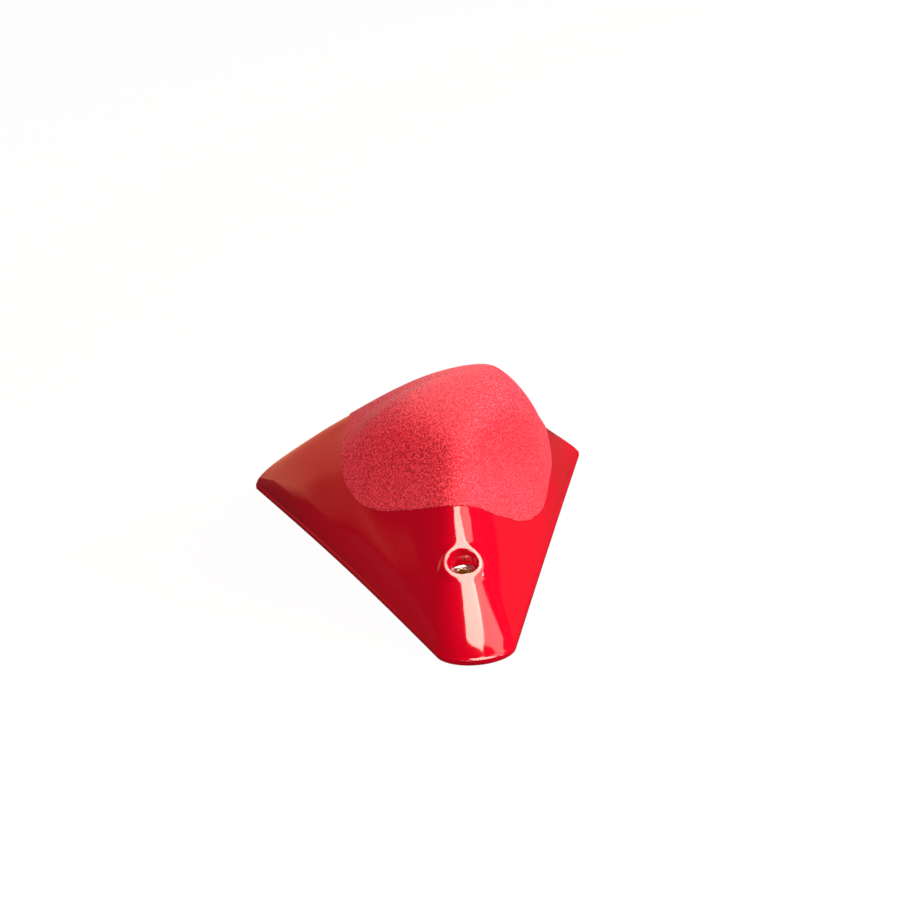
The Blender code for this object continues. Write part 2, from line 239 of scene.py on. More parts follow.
def bowedEdge(start, end, bow, steps):
    # A straight run pushed sideways by a half sine, even by a mix of distance and turn
    fine = np.linspace(0, 1, 400)
    rel = start + (end - start) * fine[:, None] - baseMiddle
    turn = np.unwrap(np.arctan2(rel[:, 1], rel[:, 0]))
    turn = (turn - turn[0]) / (turn[-1] - turn[0])
    share = np.interp(np.linspace(0, 1, steps + 1), (fine + turn) / 2, fine)[1:-1, None]
    along = (end - start) / np.linalg.norm(end - start)
    return start + (end - start) * share + np.array([along[1], -along[0]]) * bow * np.sin(math.pi * share)


def noseLeaves(corner, side):
    # The turn at which the line from a back corner touches the nose arc
    reach = corner - noseCentre
    return math.atan2(reach[1], reach[0]) + side * math.acos(formShape["noseRadius"] / np.linalg.norm(reach))


def baseOutline():
    # Anticlockwise from above, from the nose tip: arc, side, corner, back, corner, side, arc
    radius, tip, steps = formShape["noseRadius"], -math.pi / 2, formShape["noseSteps"] // 2
    toRight = arcPoints(noseCentre, radius, tip, noseLeaves(rightCorner, -1), steps)
    fromLeft = arcPoints(noseCentre, radius, noseLeaves(leftCorner, 1) - 2 * math.pi, tip, steps)[:-1]
    right = roundedCorner(toRight[-1], rightCorner, leftCorner)
    left = roundedCorner(rightCorner, leftCorner, fromLeft[0])
    return np.vstack([
        toRight, bowedEdge(toRight[-1], right[0], formShape["rightBow"], formShape["sideSteps"]),
        right, bowedEdge(right[-1], left[0], formShape["backBow"], formShape["backSteps"]),
        left, bowedEdge(left[-1], fromLeft[0], formShape["leftBow"], formShape["sideSteps"]), fromLeft])


def readForm():
    # Per column: direction and reach from the middle, its softened forms and corner weights
    outline = baseOutline()
    rel = outline - baseMiddle
    angle = np.unwrap(np.arctan2(rel[:, 1], rel[:, 0]))
    reach = np.linalg.norm(rel, axis=1)
    turn = angle - angle[0]
    gap = (turn[:, None] - turn[None, :] + math.pi) % (2 * math.pi) - math.pi
    excess = reach - reach.min()

    def softened(spread):
        # The excess averaged under a bell curve of this width in turn
        bell = np.exp(-0.5 * (gap / spread) ** 2) * np.gradient(turn)
        return (bell @ excess) / bell.sum(1)

    def past(waist):
        # 0 before a waist and 1 after it, blended across it
        return 1 / (1 + np.exp(-np.clip((turn - math.radians(waist)) / formShape["waistBlend"], -60, 60)))

    right, back, left = [past(waist) for waist in formShape["waistTurns"]]
    return {"count": len(outline), "outline": outline, "angle": angle, "belly": reach.min(), "excess": excess,
            "ridge": softened(formShape["ridgeSoftening"] / reach[:, None]),
            "dome": softened(formShape["domeSoftening"]),
            "isRight": right * (1 - back), "isLeft": back * (1 - left)}


def readColumn(name, column):
    # A per-column value between columns, closed round the outline
    values = form[name]
    wrap = 2 * math.pi if name == "angle" else 0.0
    column = np.asarray(column, float) % form["count"]
    low = np.floor(column).astype(int) % form["count"]
    closed = np.append(values, values[0] + wrap)
    return closed[low] + (closed[low + 1] - closed[low]) * (column - low)


def formAt(column, level):
    # radius = cos(level quarter turn) x (belly + softened corner excess x fullness);
    # the middle moves along its spline and the height follows sin(level quarter turn)
    column, level = np.broadcast_arrays(np.asarray(column, float), np.asarray(level, float))
    shape, stations = formShape, formShape["stations"]
    excess = readColumn("excess", column)
    excess = excess + (readColumn("ridge", column) - excess) * ease(level, *shape["ridgeLevels"])
    excess = excess + (readColumn("dome", column) - excess) * ease(level, *shape["domeLevels"])
    isRight, isLeft = readColumn("isRight", column), readColumn("isLeft", column)
    corner = ((1 - isRight - isLeft) * smoothThrough(stations, shape["nose"], level)
              + isLeft * smoothThrough(stations, shape["left"], level)
              + isRight * smoothThrough(stations, shape["right"], level))
    belly = form["belly"] * smoothThrough(stations, shape["belly"], level)
    radius = np.cos(level * math.pi / 2) * (belly + excess * corner)
    angle = readColumn("angle", column)
    x = smoothThrough(shape["middleStations"], shape["middleX"], level) + radius * np.cos(angle)
    y = smoothThrough(shape["middleStations"], shape["middleY"], level) + radius * np.sin(angle)
    z = shape["rimHeight"] + (shape["height"] - shape["rimHeight"]) * np.sin(level * math.pi / 2)
    return np.stack([x, y, z], -1)


def formNormal(column, level):
    # Along the ring crossed with up the column, by small steps that stop short of the crown
    column, level = np.broadcast_arrays(np.asarray(column, float), np.asarray(level, float))
    low, high = np.clip(level - 0.003, 0, 0.996), np.clip(level + 0.003, 0.004, 0.999)
    ring = np.clip(level, 0, 0.996)
    along = formAt(column + 0.6, ring) - formAt(column - 0.6, ring)
    normal = np.cross(along, formAt(column, high) - formAt(column, low))
    return normal / np.linalg.norm(normal, axis=-1, keepdims=True)


def findPlace(surface, target, column, level):
    # The column and level whose point has the wanted x and y, by Newton steps of limited size
    for _ in range(14):
        here = surface(column, level)[..., :2]
        dc = (surface(column + 0.25, level)[..., :2] - surface(column - 0.25, level)[..., :2]) / 0.5
        dl = (surface(column, level + 0.001)[..., :2] - surface(column, level - 0.001)[..., :2]) / 0.002
        miss = target - here
        det = dc[..., 0] * dl[..., 1] - dc[..., 1] * dl[..., 0]
        columnStep = (miss[..., 0] * dl[..., 1] - miss[..., 1] * dl[..., 0]) / det
        levelStep = (dc[..., 0] * miss[..., 1] - dc[..., 1] * miss[..., 0]) / det
        column = column + np.clip(columnStep, -6, 6)
        level = np.clip(level + np.clip(levelStep, -0.02, 0.02), 0.02, 0.6)
    return column, level


form = readForm()
print("form read,", form["count"], "columns")


# Gel coat and laminate

gelLook = {
    "red": "#B80018", "warmRed": "#C0001C", "driftSize": 45.5 * mm,
    "peelSize": 9.1 * mm, "peelHeight": 0.4 * mm, "peelStrength": 0.05,
}
laminateLook = {
    "resin": "#9C4234", "glass": "#C99A80", "strandLength": 16.7 * mm,
    "strandTurns": (0.4, 1.5, 2.6), "strandSlimness": (14.0, 11.0, 13.0), "strandHeight": 0.5 * mm,
}


def makeGelCoat():
    # Polyester gel coat, sprayed and moulded: deep clear gloss, a very slight orange peel
    look = gelLook
    material, tree, shader, place = newMaterial("mouldedGelCoat", Roughness=0.09, IOR=1.45)
    drift = addNode(tree, "ShaderNodeTexNoise", {
        "Vector": place, "Scale": perMetre(look["driftSize"]), "Detail": 3.0})
    colour = addNode(tree, "ShaderNodeMix", {
        "Factor": drift.outputs["Fac"],
        "A": linearColour(look["red"]), "B": linearColour(look["warmRed"])}, data_type="RGBA")
    tree.links.new(colour.outputs["Result"], shader.inputs["Base Color"])
    # Waves a few hundredths of a millimetre high
    peel = addNode(tree, "ShaderNodeTexNoise", {
        "Vector": place, "Scale": perMetre(look["peelSize"]), "Detail": 1.0})
    bump = addNode(tree, "ShaderNodeBump", {
        "Height": peel.outputs["Fac"], "Strength": look["peelStrength"], "Distance": look["peelHeight"]})
    tree.links.new(bump.outputs["Normal"], shader.inputs["Normal"])
    return material


def makeLaminate():
    # Hand-laid glass mat in resin: milky tan, strands showing, the red gel coat glowing through
    look = laminateLook
    material, tree, shader, place = newMaterial("glassMatLaminate", Roughness=0.38, IOR=1.5)
    along = perMetre(look["strandLength"])
    strands = None
    for number, (spin, slim) in enumerate(zip(look["strandTurns"], look["strandSlimness"])):
        turned = addNode(tree, "ShaderNodeMapping", {
            "Vector": place, "Rotation": (0.3 * number, 0.2, spin),
            "Scale": (along, along * slim, along * slim)})
        layer = addNode(tree, "ShaderNodeTexNoise", {
            "Vector": turned.outputs["Vector"], "Scale": 1.0, "Detail": 2.0})
        if strands is None:
            strands = layer.outputs["Fac"]
        else:
            higher = addNode(tree, "ShaderNodeMath", {0: strands, 1: layer.outputs["Fac"]},
                             operation="MAXIMUM")
            strands = higher.outputs[0]
    share = addNode(tree, "ShaderNodeMapRange", {"Value": strands, "From Min": 0.48, "From Max": 0.78})
    colour = addNode(tree, "ShaderNodeMix", {
        "Factor": share.outputs["Result"],
        "A": linearColour(look["resin"]), "B": linearColour(look["glass"])}, data_type="RGBA")
    tree.links.new(colour.outputs["Result"], shader.inputs["Base Color"])
    bump = addNode(tree, "ShaderNodeBump", {
        "Height": share.outputs["Result"], "Strength": 0.5, "Distance": look["strandHeight"]})
    tree.links.new(bump.outputs["Normal"], shader.inputs["Normal"])
    return material


# Shell: outer skin, rim, bolt seat and inner skin as one closed surface

shellShape = {
    "wall": 4.2 * mm, "cornerThinning": 0.14, "cornerSpread": 0.10,
    "edgeRound": 0.5 * mm, "footRound": 0.4 * mm,
    "ledge": 0.4 * mm, "ledgeFade": 0.035,                    # the face starts inside the rim band
    "firstLevel": 0.006, "belowSteps": 39, "aboveSteps": 21,  # dense rings up to the grip coat,
    "hiddenFrom": 0.50, "hiddenSteps": 12,                    # sparse ones under it
    "innerFoot": (0.045, 0.075, 0.11), "innerSteps": 21, "waviness": 0.5 * mm,
    "seatLow": 0.150, "seatLevel": 0.23, "seatHigh": 0.325, "seatRings": 26, "seatHalfWidth": 19 * mm,
    "mouthRadius": 10 * mm, "lipRadius": 12.6 * mm, "lipRound": 0.8 * mm, "lipDrop": 0.8 * mm,
    "bossLevel": 0.74, "bossFoot": 17.4 * mm, "bossLean": 0.05,    # the flat collar round the mouth
    "floorRound": 0.7 * mm, "clearance": 0.3 * mm, "boreChamfer": 0.3 * mm,
    "cupWall": 4.2 * mm, "cupRound": 1 * mm,
}
cornerAngles = [math.atan2(y, x) for x, y in (leftCorner - baseMiddle, rightCorner - baseMiddle)]


def laminateDepth(turn):
    # The wall's thickness, a little less in the two tight back corners
    tight = sum(np.exp(-((np.angle(np.exp(1j * (turn - corner))) / shellShape["cornerSpread"]) ** 2))
                for corner in cornerAngles)
    return shellShape["wall"] * (1 - shellShape["cornerThinning"] * tight)


def innerAt(column, level):
    # One laminate thickness under the outside
    depth = laminateDepth(readColumn("angle", column))
    return formAt(column, level) - formNormal(column, level) * depth[..., None]


def outlineNormals():
    # The level directions out of the base outline, from the two neighbours of each point
    along = np.roll(form["outline"], -1, axis=0) - np.roll(form["outline"], 1, axis=0)
    outward = np.stack([along[:, 1], -along[:, 0]], -1)
    return outward / np.linalg.norm(outward, axis=1, keepdims=True)


def edgeRing(inset, z):
    # The base outline drawn in by an inset, at one height
    return np.column_stack([form["outline"] - outlineNormals() * inset, np.full(form["count"], z)])


def roundedRings(start, corner, end, shares):
    # Rings on the quadratic curve that leaves start and reaches end, pulled towards the corner
    return [start * (1 - s) ** 2 + 2 * corner * s * (1 - s) + end * s ** 2 for s in shares]


def outerSkin(levels):
    # Foot, rim band and rounded edge, then the loft; also tells how many rings lie below the loft
    shape, rim = shellShape, formShape["rimHeight"]
    foot, edge, ledge = shape["footRound"], shape["edgeRound"], shape["ledge"]
    rings = [edgeRing(foot, 0.0), edgeRing(foot * 0.3, foot * 0.3), edgeRing(0.0, foot),
             edgeRing(0.0, rim * 0.5)]
    rings += roundedRings(edgeRing(0.0, rim - edge), edgeRing(0.0, rim), edgeRing(ledge, rim + 0.05 * mm),
                          np.linspace(0, 1, 7))
    edgeRings = len(rings)
    sunk = ledge * (1 - ease(levels, 0.0, shape["ledgeFade"]))[:, None, None]
    outward = np.append(outlineNormals(), np.zeros((form["count"], 1)), axis=1)
    rings += list(formAt(np.arange(form["count"]), levels[:, None]) - sunk * outward)
    return np.array(rings), edgeRings


def innerSkin(band):
    # Base edge, a step up, then the laminate's inside, wavy from hand laying;
    # also tells how many rings lie below the band that the seat shares
    shape, columns = shellShape, np.arange(form["count"])
    top = np.linspace(shape["seatHigh"], 1.0, shape["innerSteps"] + 1)[1:-1]
    levels = np.concatenate([shape["innerFoot"], band, top])[:, None]
    inner = innerAt(columns, levels)
    flat = inner.reshape(-1, 3)
    wave = softNoise(flat, 14 * mm, 3) + 0.5 * softNoise(flat, 5 * mm, 4)
    wave = (wave.reshape(inner.shape[:2]) - 0.75) * shape["waviness"]
    inner = inner + formNormal(columns, levels) * wave[..., None]
    base = edgeRing(laminateDepth(form["angle"])[:, None], 0.0)
    step = base * 0.75 + inner[0] * 0.25
    step[:, 2] = inner[0][:, 2] * 0.35
    return np.concatenate([base[None], step[None], inner]), 2 + len(shape["innerFoot"])


def seatLoop():
    # The loop of grid points round the seat: half its width in columns, its columns, its rows in the band
    last = shellShape["seatRings"] - 1
    for half in range(6, form["count"] // 4):
        side = formAt(np.array([-half, half]), shellShape["seatHigh"])
        if min(abs(side[:, 0] - boltAxis[0])) > shellShape["seatHalfWidth"]:
            break
    across = np.arange(-half, half + 1)
    column = np.concatenate([across[:-1], np.full(last, half), across[:0:-1], np.full(last, -half)])
    row = np.concatenate([
        np.zeros(2 * half), np.arange(last), np.full(2 * half, last), np.arange(last, 0, -1)])
    return half, column, row.astype(int)


def seatPatch(column, level):
    # Rings from the loop in to the lip, down the well, through the bore, back under the floor, up the cup
    # and out to the same loop of the inner skin; also tells how many rings the gel coat covers
    shape = shellShape
    sleeveLow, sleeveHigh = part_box("bolt_sleeve")
    floorTop = washerLow.z - shape["clearance"]
    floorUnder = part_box("bolt_block")[1].z + shape["clearance"]
    bore = (sleeveHigh.x - sleeveLow.x) / 2 + shape["clearance"]
    lip, mouth = shape["lipRadius"], shape["mouthRadius"]

    ridge = findPlace(formAt, boltAxis[None], np.zeros(1), np.full(1, shape["seatLevel"]))
    ridgePoint, slope = formAt(*ridge)[0], formNormal(*ridge)[0]
    squash = slope[2]      # the mouth is round on the slope, so it is an oval from above
    edge = formAt(column, level)
    turn = np.unwrap(np.arctan2((edge[:, 1] - boltAxis[1]) / squash, edge[:, 0] - boltAxis[0]))
    even = turn[0] + np.arange(len(turn)) * 2 * math.pi / len(turn)
    even += np.mean(turn - even)

    def oval(across, along):
        return boltAxis + np.stack([across * np.cos(even), along * np.sin(even)], -1)

    def atHeight(xy, z):
        return np.column_stack([xy, np.broadcast_to(z, len(xy))])

    def collar(points):
        # Raises the land towards the plane that touches the ridge at the bolt, fading out at the foot
        away = points[:, :2] - boltAxis
        far = np.hypot(away[:, 0], away[:, 1] / squash)
        fall = slope[:2] / slope[2] + [shape["bossLean"], 0]
        plane = ridgePoint[2] - (points[:, :2] - ridgePoint[:2]) @ fall
        share = shape["bossLevel"] * (1 - ease(far, lip, shape["bossFoot"]))
        return atHeight(points[:, :2], points[:, 2] + share * np.maximum(plane - points[:, 2], 0))

    # In to the lip, and on to the brink
    lipPlace = findPlace(formAt, oval(lip, lip * squash), column * lip / shape["seatHalfWidth"] * 0.6,
                         (level + shape["seatLevel"]) / 2)
    patch = []
    for share in np.linspace(0, 1, 17)[1:]:
        eased = share * (1.6 - 0.6 * share)
        place = [a + (b - a) * eased for a, b in zip((column, level), lipPlace)]
        patch.append(collar(formAt(*place)))

    def collarAt(radius):
        return collar(formAt(*findPlace(formAt, oval(radius, radius * squash), *lipPlace)))

    brink = mouth + shape["lipRound"]
    patch += [collarAt(lip + (brink - lip) * share) for share in (0.2, 0.5, 0.8, 1.0)]

    # Over the brink, down the wall and round on to the floor
    soft, mouthXy, bend = shape["floorRound"], oval(mouth, mouth * squash), collarAt(mouth)
    wallTop = np.maximum(bend[:, 2] - shape["lipDrop"], floorTop + 0.9 * mm)
    patch += roundedRings(patch[-1], bend, atHeight(mouthXy, wallTop), np.linspace(0, 1, 9)[1:])
    patch += [atHeight(mouthXy, wallTop + (floorTop + soft - wallTop) * s) for s in (0.3, 0.65, 1.0)]
    for angle in np.radians((30, 60, 90)):
        pull = soft * (1 - math.cos(angle))
        ring = oval(mouth - pull, mouth * squash - pull)
        patch.append(atHeight(ring, floorTop + soft * (1 - math.sin(angle))))

    # Across the floor and through the bore
    shoulder = bore + shape["boreChamfer"]
    lowest = floorUnder + shape["boreChamfer"]
    patch.append(atHeight(oval((mouth + shoulder) / 2, (mouth * squash + shoulder) / 2), floorTop))
    patch.append(atHeight(oval(shoulder, shoulder), floorTop))
    patch.append(atHeight(oval(bore, bore), floorTop - shape["boreChamfer"]))
    patch += [atHeight(oval(bore, bore), floorTop * (1 - s) + lowest * s) for s in (0.4, 0.7, 1.0)]
    gelRings = len(patch)

    # Back under the floor, up the outside of the cup and out along the inner skin
    soft, cup = shape["cupRound"], np.array([mouth, mouth * squash]) + shape["cupWall"]
    patch.append(atHeight(oval(shoulder, shoulder), floorUnder))
    patch.append(atHeight(oval(*(cup - soft)), floorUnder))
    cupPlace = findPlace(innerAt, oval(*cup), lipPlace[0] * 1.1, lipPlace[1])
    meet = innerAt(*cupPlace)
    cupFoot = atHeight(oval(*cup), np.minimum(floorUnder + soft, meet[:, 2] - 0.2 * mm))
    patch += [cupFoot + (meet - cupFoot) * s for s in (0.0, 0.5, 0.85)]
    for share in np.linspace(0, 1, 9)[:-1]:
        place = [b + (a - b) * share for a, b in zip((column, level), cupPlace)]
        patch.append(innerAt(*place))
    return np.array(patch), gelRings


def makeShell():
    # Three grids in one mesh: the outer and inner skins, each with a window, and the seat that joins them
    shape, count = shellShape, form["count"]
    band = np.linspace(shape["seatLow"], shape["seatHigh"], shape["seatRings"])
    below = np.linspace(shape["firstLevel"], shape["seatLow"], shape["belowSteps"] + 1)[:-1]
    above = np.linspace(shape["seatHigh"], shape["hiddenFrom"], shape["aboveSteps"] + 1)[1:]
    hidden = np.linspace(shape["hiddenFrom"], 1.0, shape["hiddenSteps"] + 1)[1:-1]
    outer, edgeRings = outerSkin(np.concatenate([below, band, above, hidden]))
    outerBand = edgeRings + len(below)
    inner, innerBand = innerSkin(band)
    half, column, row = seatLoop()
    patch, gelRings = seatPatch(column, band[row])

    outerIndex = np.arange(len(outer) * count).reshape(-1, count)
    innerIndex = outerIndex.size + np.arange(len(inner) * count).reshape(-1, count)
    patchIndex = outerIndex.size + innerIndex.size + np.arange(patch[..., 0].size).reshape(len(patch), -1)
    patchIndex = np.vstack([outerIndex[outerBand + row, column % count], patchIndex,
                            innerIndex[innerBand + row, column % count]])
    crown = formAt(np.zeros(1), np.ones(1))
    points = np.vstack([outer.reshape(-1, 3), inner.reshape(-1, 3), patch.reshape(-1, 3),
                        crown, crown - [[0, 0, shape["wall"]]]])
    points = np.clip(points, cadLow + 0.01 * mm, cadHigh - 0.01 * mm)
    points[:, 2] = np.maximum(points[:, 2], 0.0)
    outerCrown, innerCrown = len(points) - 2, len(points) - 1

    window = np.arange(-half, half) % count
    outerKept = np.ones((len(outer) - 1, count), bool)
    outerKept[outerBand:outerBand + len(band) - 1, window] = False
    innerKept = np.ones((len(inner) - 1, count), bool)
    innerKept[innerBand:innerBand + len(band) - 1, window] = False
    outerQuads, patchQuads = quadsOf(outerIndex), quadsOf(patchIndex)
    innerQuads = quadsOf(innerIndex)[..., ::-1]
    gelFaces = [outerQuads[2:][outerKept[2:]], fanOf(outerIndex[-1], outerCrown), patchQuads[:gelRings]]
    rimQuads = quadsOf(np.vstack([innerIndex[:1], outerIndex[:1]]))
    laminateFaces = [outerQuads[:2], rimQuads, innerQuads[innerKept],
                     fanOf(innerIndex[-1], innerCrown)[:, ::-1], patchQuads[gelRings:]]
    piece = makePiece("moulded_shell", points, gelFaces + laminateFaces, [makeGelCoat(), makeLaminate()],
                      [0] * len(gelFaces) + [1] * len(laminateFaces))
    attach(piece, "root")
    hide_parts("shell")
    print("shell:", len(points), "points")


makeShell()


# Grip coat: a sanded skin over the dome with a soft edge

sandLook = {
    # The darkest colour is painted shade in the pits between the grains; the palest lies on the raised grains
    "pit": "#B8081C", "grain": "#F41A30", "grainTop": "#FF4C5C", "tones": (-0.20, 0.32),
    "grainSize": 1.316 * mm, "clumpSize": 1.563 * mm,     # about twice the real grit, so that it shows
    "bumpHeight": 0.5 * mm,
}
gripShape = {
    "skin": 0.9 * mm, "edgeRound": 1.5 * mm, "edgeStart": 0.06 * mm, "edgeWander": 0.5 * mm,
    "grain": 2.0 * mm, "grainDepth": 0.18 * mm, "bed": 0.05 * mm,
    "columns": 720, "rings": 118, "underRings": 8,
    # The lower border: degrees round from the nose tip, and the level there
    "border": (
        (0, .371), (4, .344), (7, .292), (10, .240), (14, .173), (20, .119), (28, .098), (38, .115),
        (57, .160), (74, .215), (90, .260), (110, .275), (126, .260), (150, .190), (180, .150),
        (210, .205), (240, .370), (257, .455), (273, .465), (287, .425), (301, .350), (309, .287),
        (318, .249), (325, .232), (334, .242), (343, .283), (350, .329), (356, .366)),
}


def makeGripSand():
    # Sand bedded in red resin: dry and knobbly, with painted shade darkening the pits and a paler colour on
    # the raised grains
    look = sandLook
    material, tree, shader, place = newMaterial(
        "beddedGripSand", Roughness=0.65, IOR=1.3, Sheen_Weight=0.1, Sheen_Roughness=0.5)
    grains = addNode(tree, "ShaderNodeTexVoronoi", {"Vector": place, "Scale": perMetre(look["grainSize"])})
    clumps = addNode(tree, "ShaderNodeTexNoise", {
        "Vector": place, "Scale": perMetre(look["clumpSize"]), "Detail": 3.0, "Roughness": 0.7})
    level = addNode(tree, "ShaderNodeMath", {0: clumps.outputs["Fac"], 1: grains.outputs["Distance"]},
                    operation="SUBTRACT")
    tone = addNode(tree, "ShaderNodeMapRange", {
        "Value": level.outputs[0], "From Min": look["tones"][0], "From Max": look["tones"][1]})
    # The same tone sets the bump: low tones in the pits get the painted shade, high tones on the raised
    # grains the palest colour
    ramp = addNode(tree, "ShaderNodeValToRGB", {"Fac": tone.outputs["Result"]})
    ramp.color_ramp.elements[0].color = linearColour(look["pit"])
    ramp.color_ramp.elements[1].color = linearColour(look["grainTop"])
    middle = ramp.color_ramp.elements.new(0.5)
    middle.color = linearColour(look["grain"])
    tree.links.new(ramp.outputs["Color"], shader.inputs["Base Color"])
    bump = addNode(tree, "ShaderNodeBump", {
        "Height": tone.outputs["Result"], "Strength": 0.5, "Distance": look["bumpHeight"]})
    tree.links.new(bump.outputs["Normal"], shader.inputs["Normal"])
    return material


def borderLevels():
    # The border's level at each column of the form, by a spline closed round the outline
    turns, levels = np.array(gripShape["border"]).T
    around = np.concatenate([turns + shift for shift in (-360, 0, 360)])
    return smoothThrough(around, np.tile(levels, 3), np.degrees(form["angle"] - form["angle"][0]))


def makeGrip():
    # Columns even along the border; each point stands off the form by the skin's height at its distance
    # from the border, a quarter round rising to the full skin, less a pit between the grains
    shape = gripShape
    form["border"] = borderLevels()
    fine = np.arange(0, form["count"], 0.5)
    edge = formAt(fine, readColumn("border", fine))
    length = np.append(0, np.cumsum(np.linalg.norm(np.roll(edge, -1, axis=0) - edge, axis=1)))
    evenly = np.linspace(0, length[-1], shape["columns"] + 1)[:-1]
    column = np.interp(evenly, length, np.append(fine, form["count"]))
    border = readColumn("border", column)
    at = formAt(column, border)
    speed = np.linalg.norm(formAt(column, border + 0.004) - at, axis=1) / 0.004     # metres per level
    wander = (softNoise(at, 9 * mm, 8) - 0.5) * 2 + (softNoise(at, 3.5 * mm, 9) - 0.5)
    border = border + wander * shape["edgeWander"] / speed

    # Distances from the border: packed across the rounded edge, then even up to the crown
    nearEdge = np.array([0, 0.12, 0.3, 0.55, 0.85, 1.2, 1.6, 2.1]) * mm
    rest = np.linspace(0, 1, shape["rings"] - len(nearEdge) + 2)[1:-1]
    start = border + nearEdge[-1] / speed
    levels = np.vstack([border + nearEdge[:, None] / speed, start + (1 - start) * rest[:, None] ** 0.93])
    away = np.append(nearEdge, np.full(len(rest), 9.0))[:, None]
    share = np.clip(away / shape["edgeRound"], 0, 1)
    rise = np.sqrt(1 - (1 - share) ** 2)
    height = shape["edgeStart"] + (shape["skin"] - shape["edgeStart"]) * rise
    points, normal = formAt(column, levels), formNormal(column, levels)
    flat = points.reshape(-1, 3)
    speck = nearestSpeck(flat, shape["grain"], 5)
    pit = np.clip(speck / 0.8, 0, 1) ** 1.5 * (0.55 + 0.45 * softNoise(flat, 6 * mm, 6))
    pit = pit.reshape(levels.shape) * (0.35 + 0.65 * share)
    over = points + normal * (height - pit * shape["grainDepth"] * np.minimum(rise + 0.1, 1))[..., None]
    under = levels[0] + (1 - levels[0]) * np.linspace(0, 1, shape["underRings"] + 1)[:-1, None] ** 1.4
    under[0] = levels[0] + 0.2 * mm / speed
    below = formAt(column, under) + formNormal(column, under) * shape["bed"]

    top = formAt(np.zeros(1), np.ones(1))
    points = np.vstack([over.reshape(-1, 3), below.reshape(-1, 3),
                        top + [[0, 0, shape["skin"] - 0.2 * mm]], top + [[0, 0, shape["bed"]]]])
    points = np.clip(points, cadLow, cadHigh)
    overIndex = np.arange(over[..., 0].size).reshape(len(over), -1)
    underIndex = overIndex.size + np.arange(below[..., 0].size).reshape(len(below), -1)
    faces = [quadsOf(np.vstack([underIndex[:1], overIndex])), fanOf(overIndex[-1], len(points) - 2),
             quadsOf(underIndex)[..., ::-1], fanOf(underIndex[-1], len(points) - 1)[:, ::-1]]
    piece = makePiece("sanded_grip", points, faces, [makeGripSand()])
    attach(piece, "root")
    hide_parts("grip_skin")
    print("grip:", len(points), "points")


makeGrip()


# Washer and sleeve: turned metal, carried round the bolt's axis

turnedShape = {
    "steps": 160, "bore": 5.4 * mm,
    "washerRound": 0.18 * mm, "washerDish": 1.1 * mm, "sleeveRound": 0.35 * mm,
}
steelLook = {"colour": "#C9C8C6", "ringGap": 1.047 * mm, "tarnishSize": 2.5 * mm, "bumpHeight": 0.1 * mm}
zincLook = {
    "straw": "#D2A94E", "rose": "#D8A070", "green": "#C2A45C", "tintSize": 6.25 * mm,
    "markGap": 0.449 * mm, "bumpHeight": 0.1 * mm,
}
wavePeriod = math.pi / 10      # one wave of a Wave texture at a Scale of 1


def turnedPiece(name, node, material, soft, dish=0.0):
    # A closed profile of (radius, height) with rounded edges, swept round the axis;
    # a dish lowers the top face inwards from the rim with the cube of the distance, like a cup
    low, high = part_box(node)
    centre = np.array([(low.x + high.x) / 2, (low.y + high.y) / 2])
    outer, bore = (high.x - low.x) / 2, turnedShape["bore"]
    quarter = np.radians(np.linspace(0, 90, 7))
    corners = [(outer, high.z, 0), (bore, high.z - dish, 90), (bore, low.z, 180), (outer, low.z, 270)]
    profile = []
    for radius, z, turn in corners:
        inwardR, inwardZ = (-1 if radius == outer else 1), (1 if z == low.z else -1)
        angle = quarter + math.radians(turn)
        profile.append(np.stack([radius + inwardR * soft + soft * np.cos(angle),
                                 z + inwardZ * soft + soft * np.sin(angle)], -1))
    if dish > 0:
        out = np.linspace(0.92, 0.08, 12)
        slopeRadius = bore + soft + (outer - bore - 2 * soft) * out
        profile.insert(1, np.stack([slopeRadius, high.z - dish + dish * out ** 3], -1))
    profile = np.vstack(profile)
    turn = np.linspace(0, 2 * math.pi, turnedShape["steps"] + 1)[:-1]
    rings = np.stack([centre[0] + profile[:, :1] * np.cos(turn), centre[1] + profile[:, :1] * np.sin(turn),
                      np.broadcast_to(profile[:, 1:], (len(profile), len(turn)))], -1)
    index = np.arange(rings[..., 0].size).reshape(len(profile), -1)
    faces = [quadsOf(np.vstack([index, index[:1]]))]
    piece = makePiece(name, rings.reshape(-1, 3), faces, [material])
    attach(piece, "root")
    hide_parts(node)


def makeSteel():
    # Stainless steel, stamped and tumbled: bright, with faint rings from its die
    look = steelLook
    material, tree, shader, place = newMaterial("stampedSteel", Metallic=1.0, Roughness=0.24)
    shader.inputs["Base Color"].default_value = linearColour(look["colour"])
    moved = addNode(tree, "ShaderNodeMapping", {"Vector": place, "Location": (-boltAxis[0], -boltAxis[1], 0)})
    rings = addNode(tree, "ShaderNodeTexWave", {
        "Vector": moved.outputs["Vector"], "Scale": perMetre(look["ringGap"] / wavePeriod),
        "Distortion": 1.5, "Detail": 2.0}, wave_type="RINGS", rings_direction="Z")
    bump = addNode(tree, "ShaderNodeBump", {
        "Height": rings.outputs["Fac"], "Strength": 0.15, "Distance": look["bumpHeight"]})
    tree.links.new(bump.outputs["Normal"], shader.inputs["Normal"])
    tarnish = addNode(tree, "ShaderNodeTexNoise", {
        "Vector": place, "Scale": perMetre(look["tarnishSize"]), "Detail": 3.0})
    rough = addNode(tree, "ShaderNodeMapRange", {
        "Value": tarnish.outputs["Fac"], "To Min": 0.14, "To Max": 0.30})
    tree.links.new(rough.outputs["Result"], shader.inputs["Roughness"])
    return material


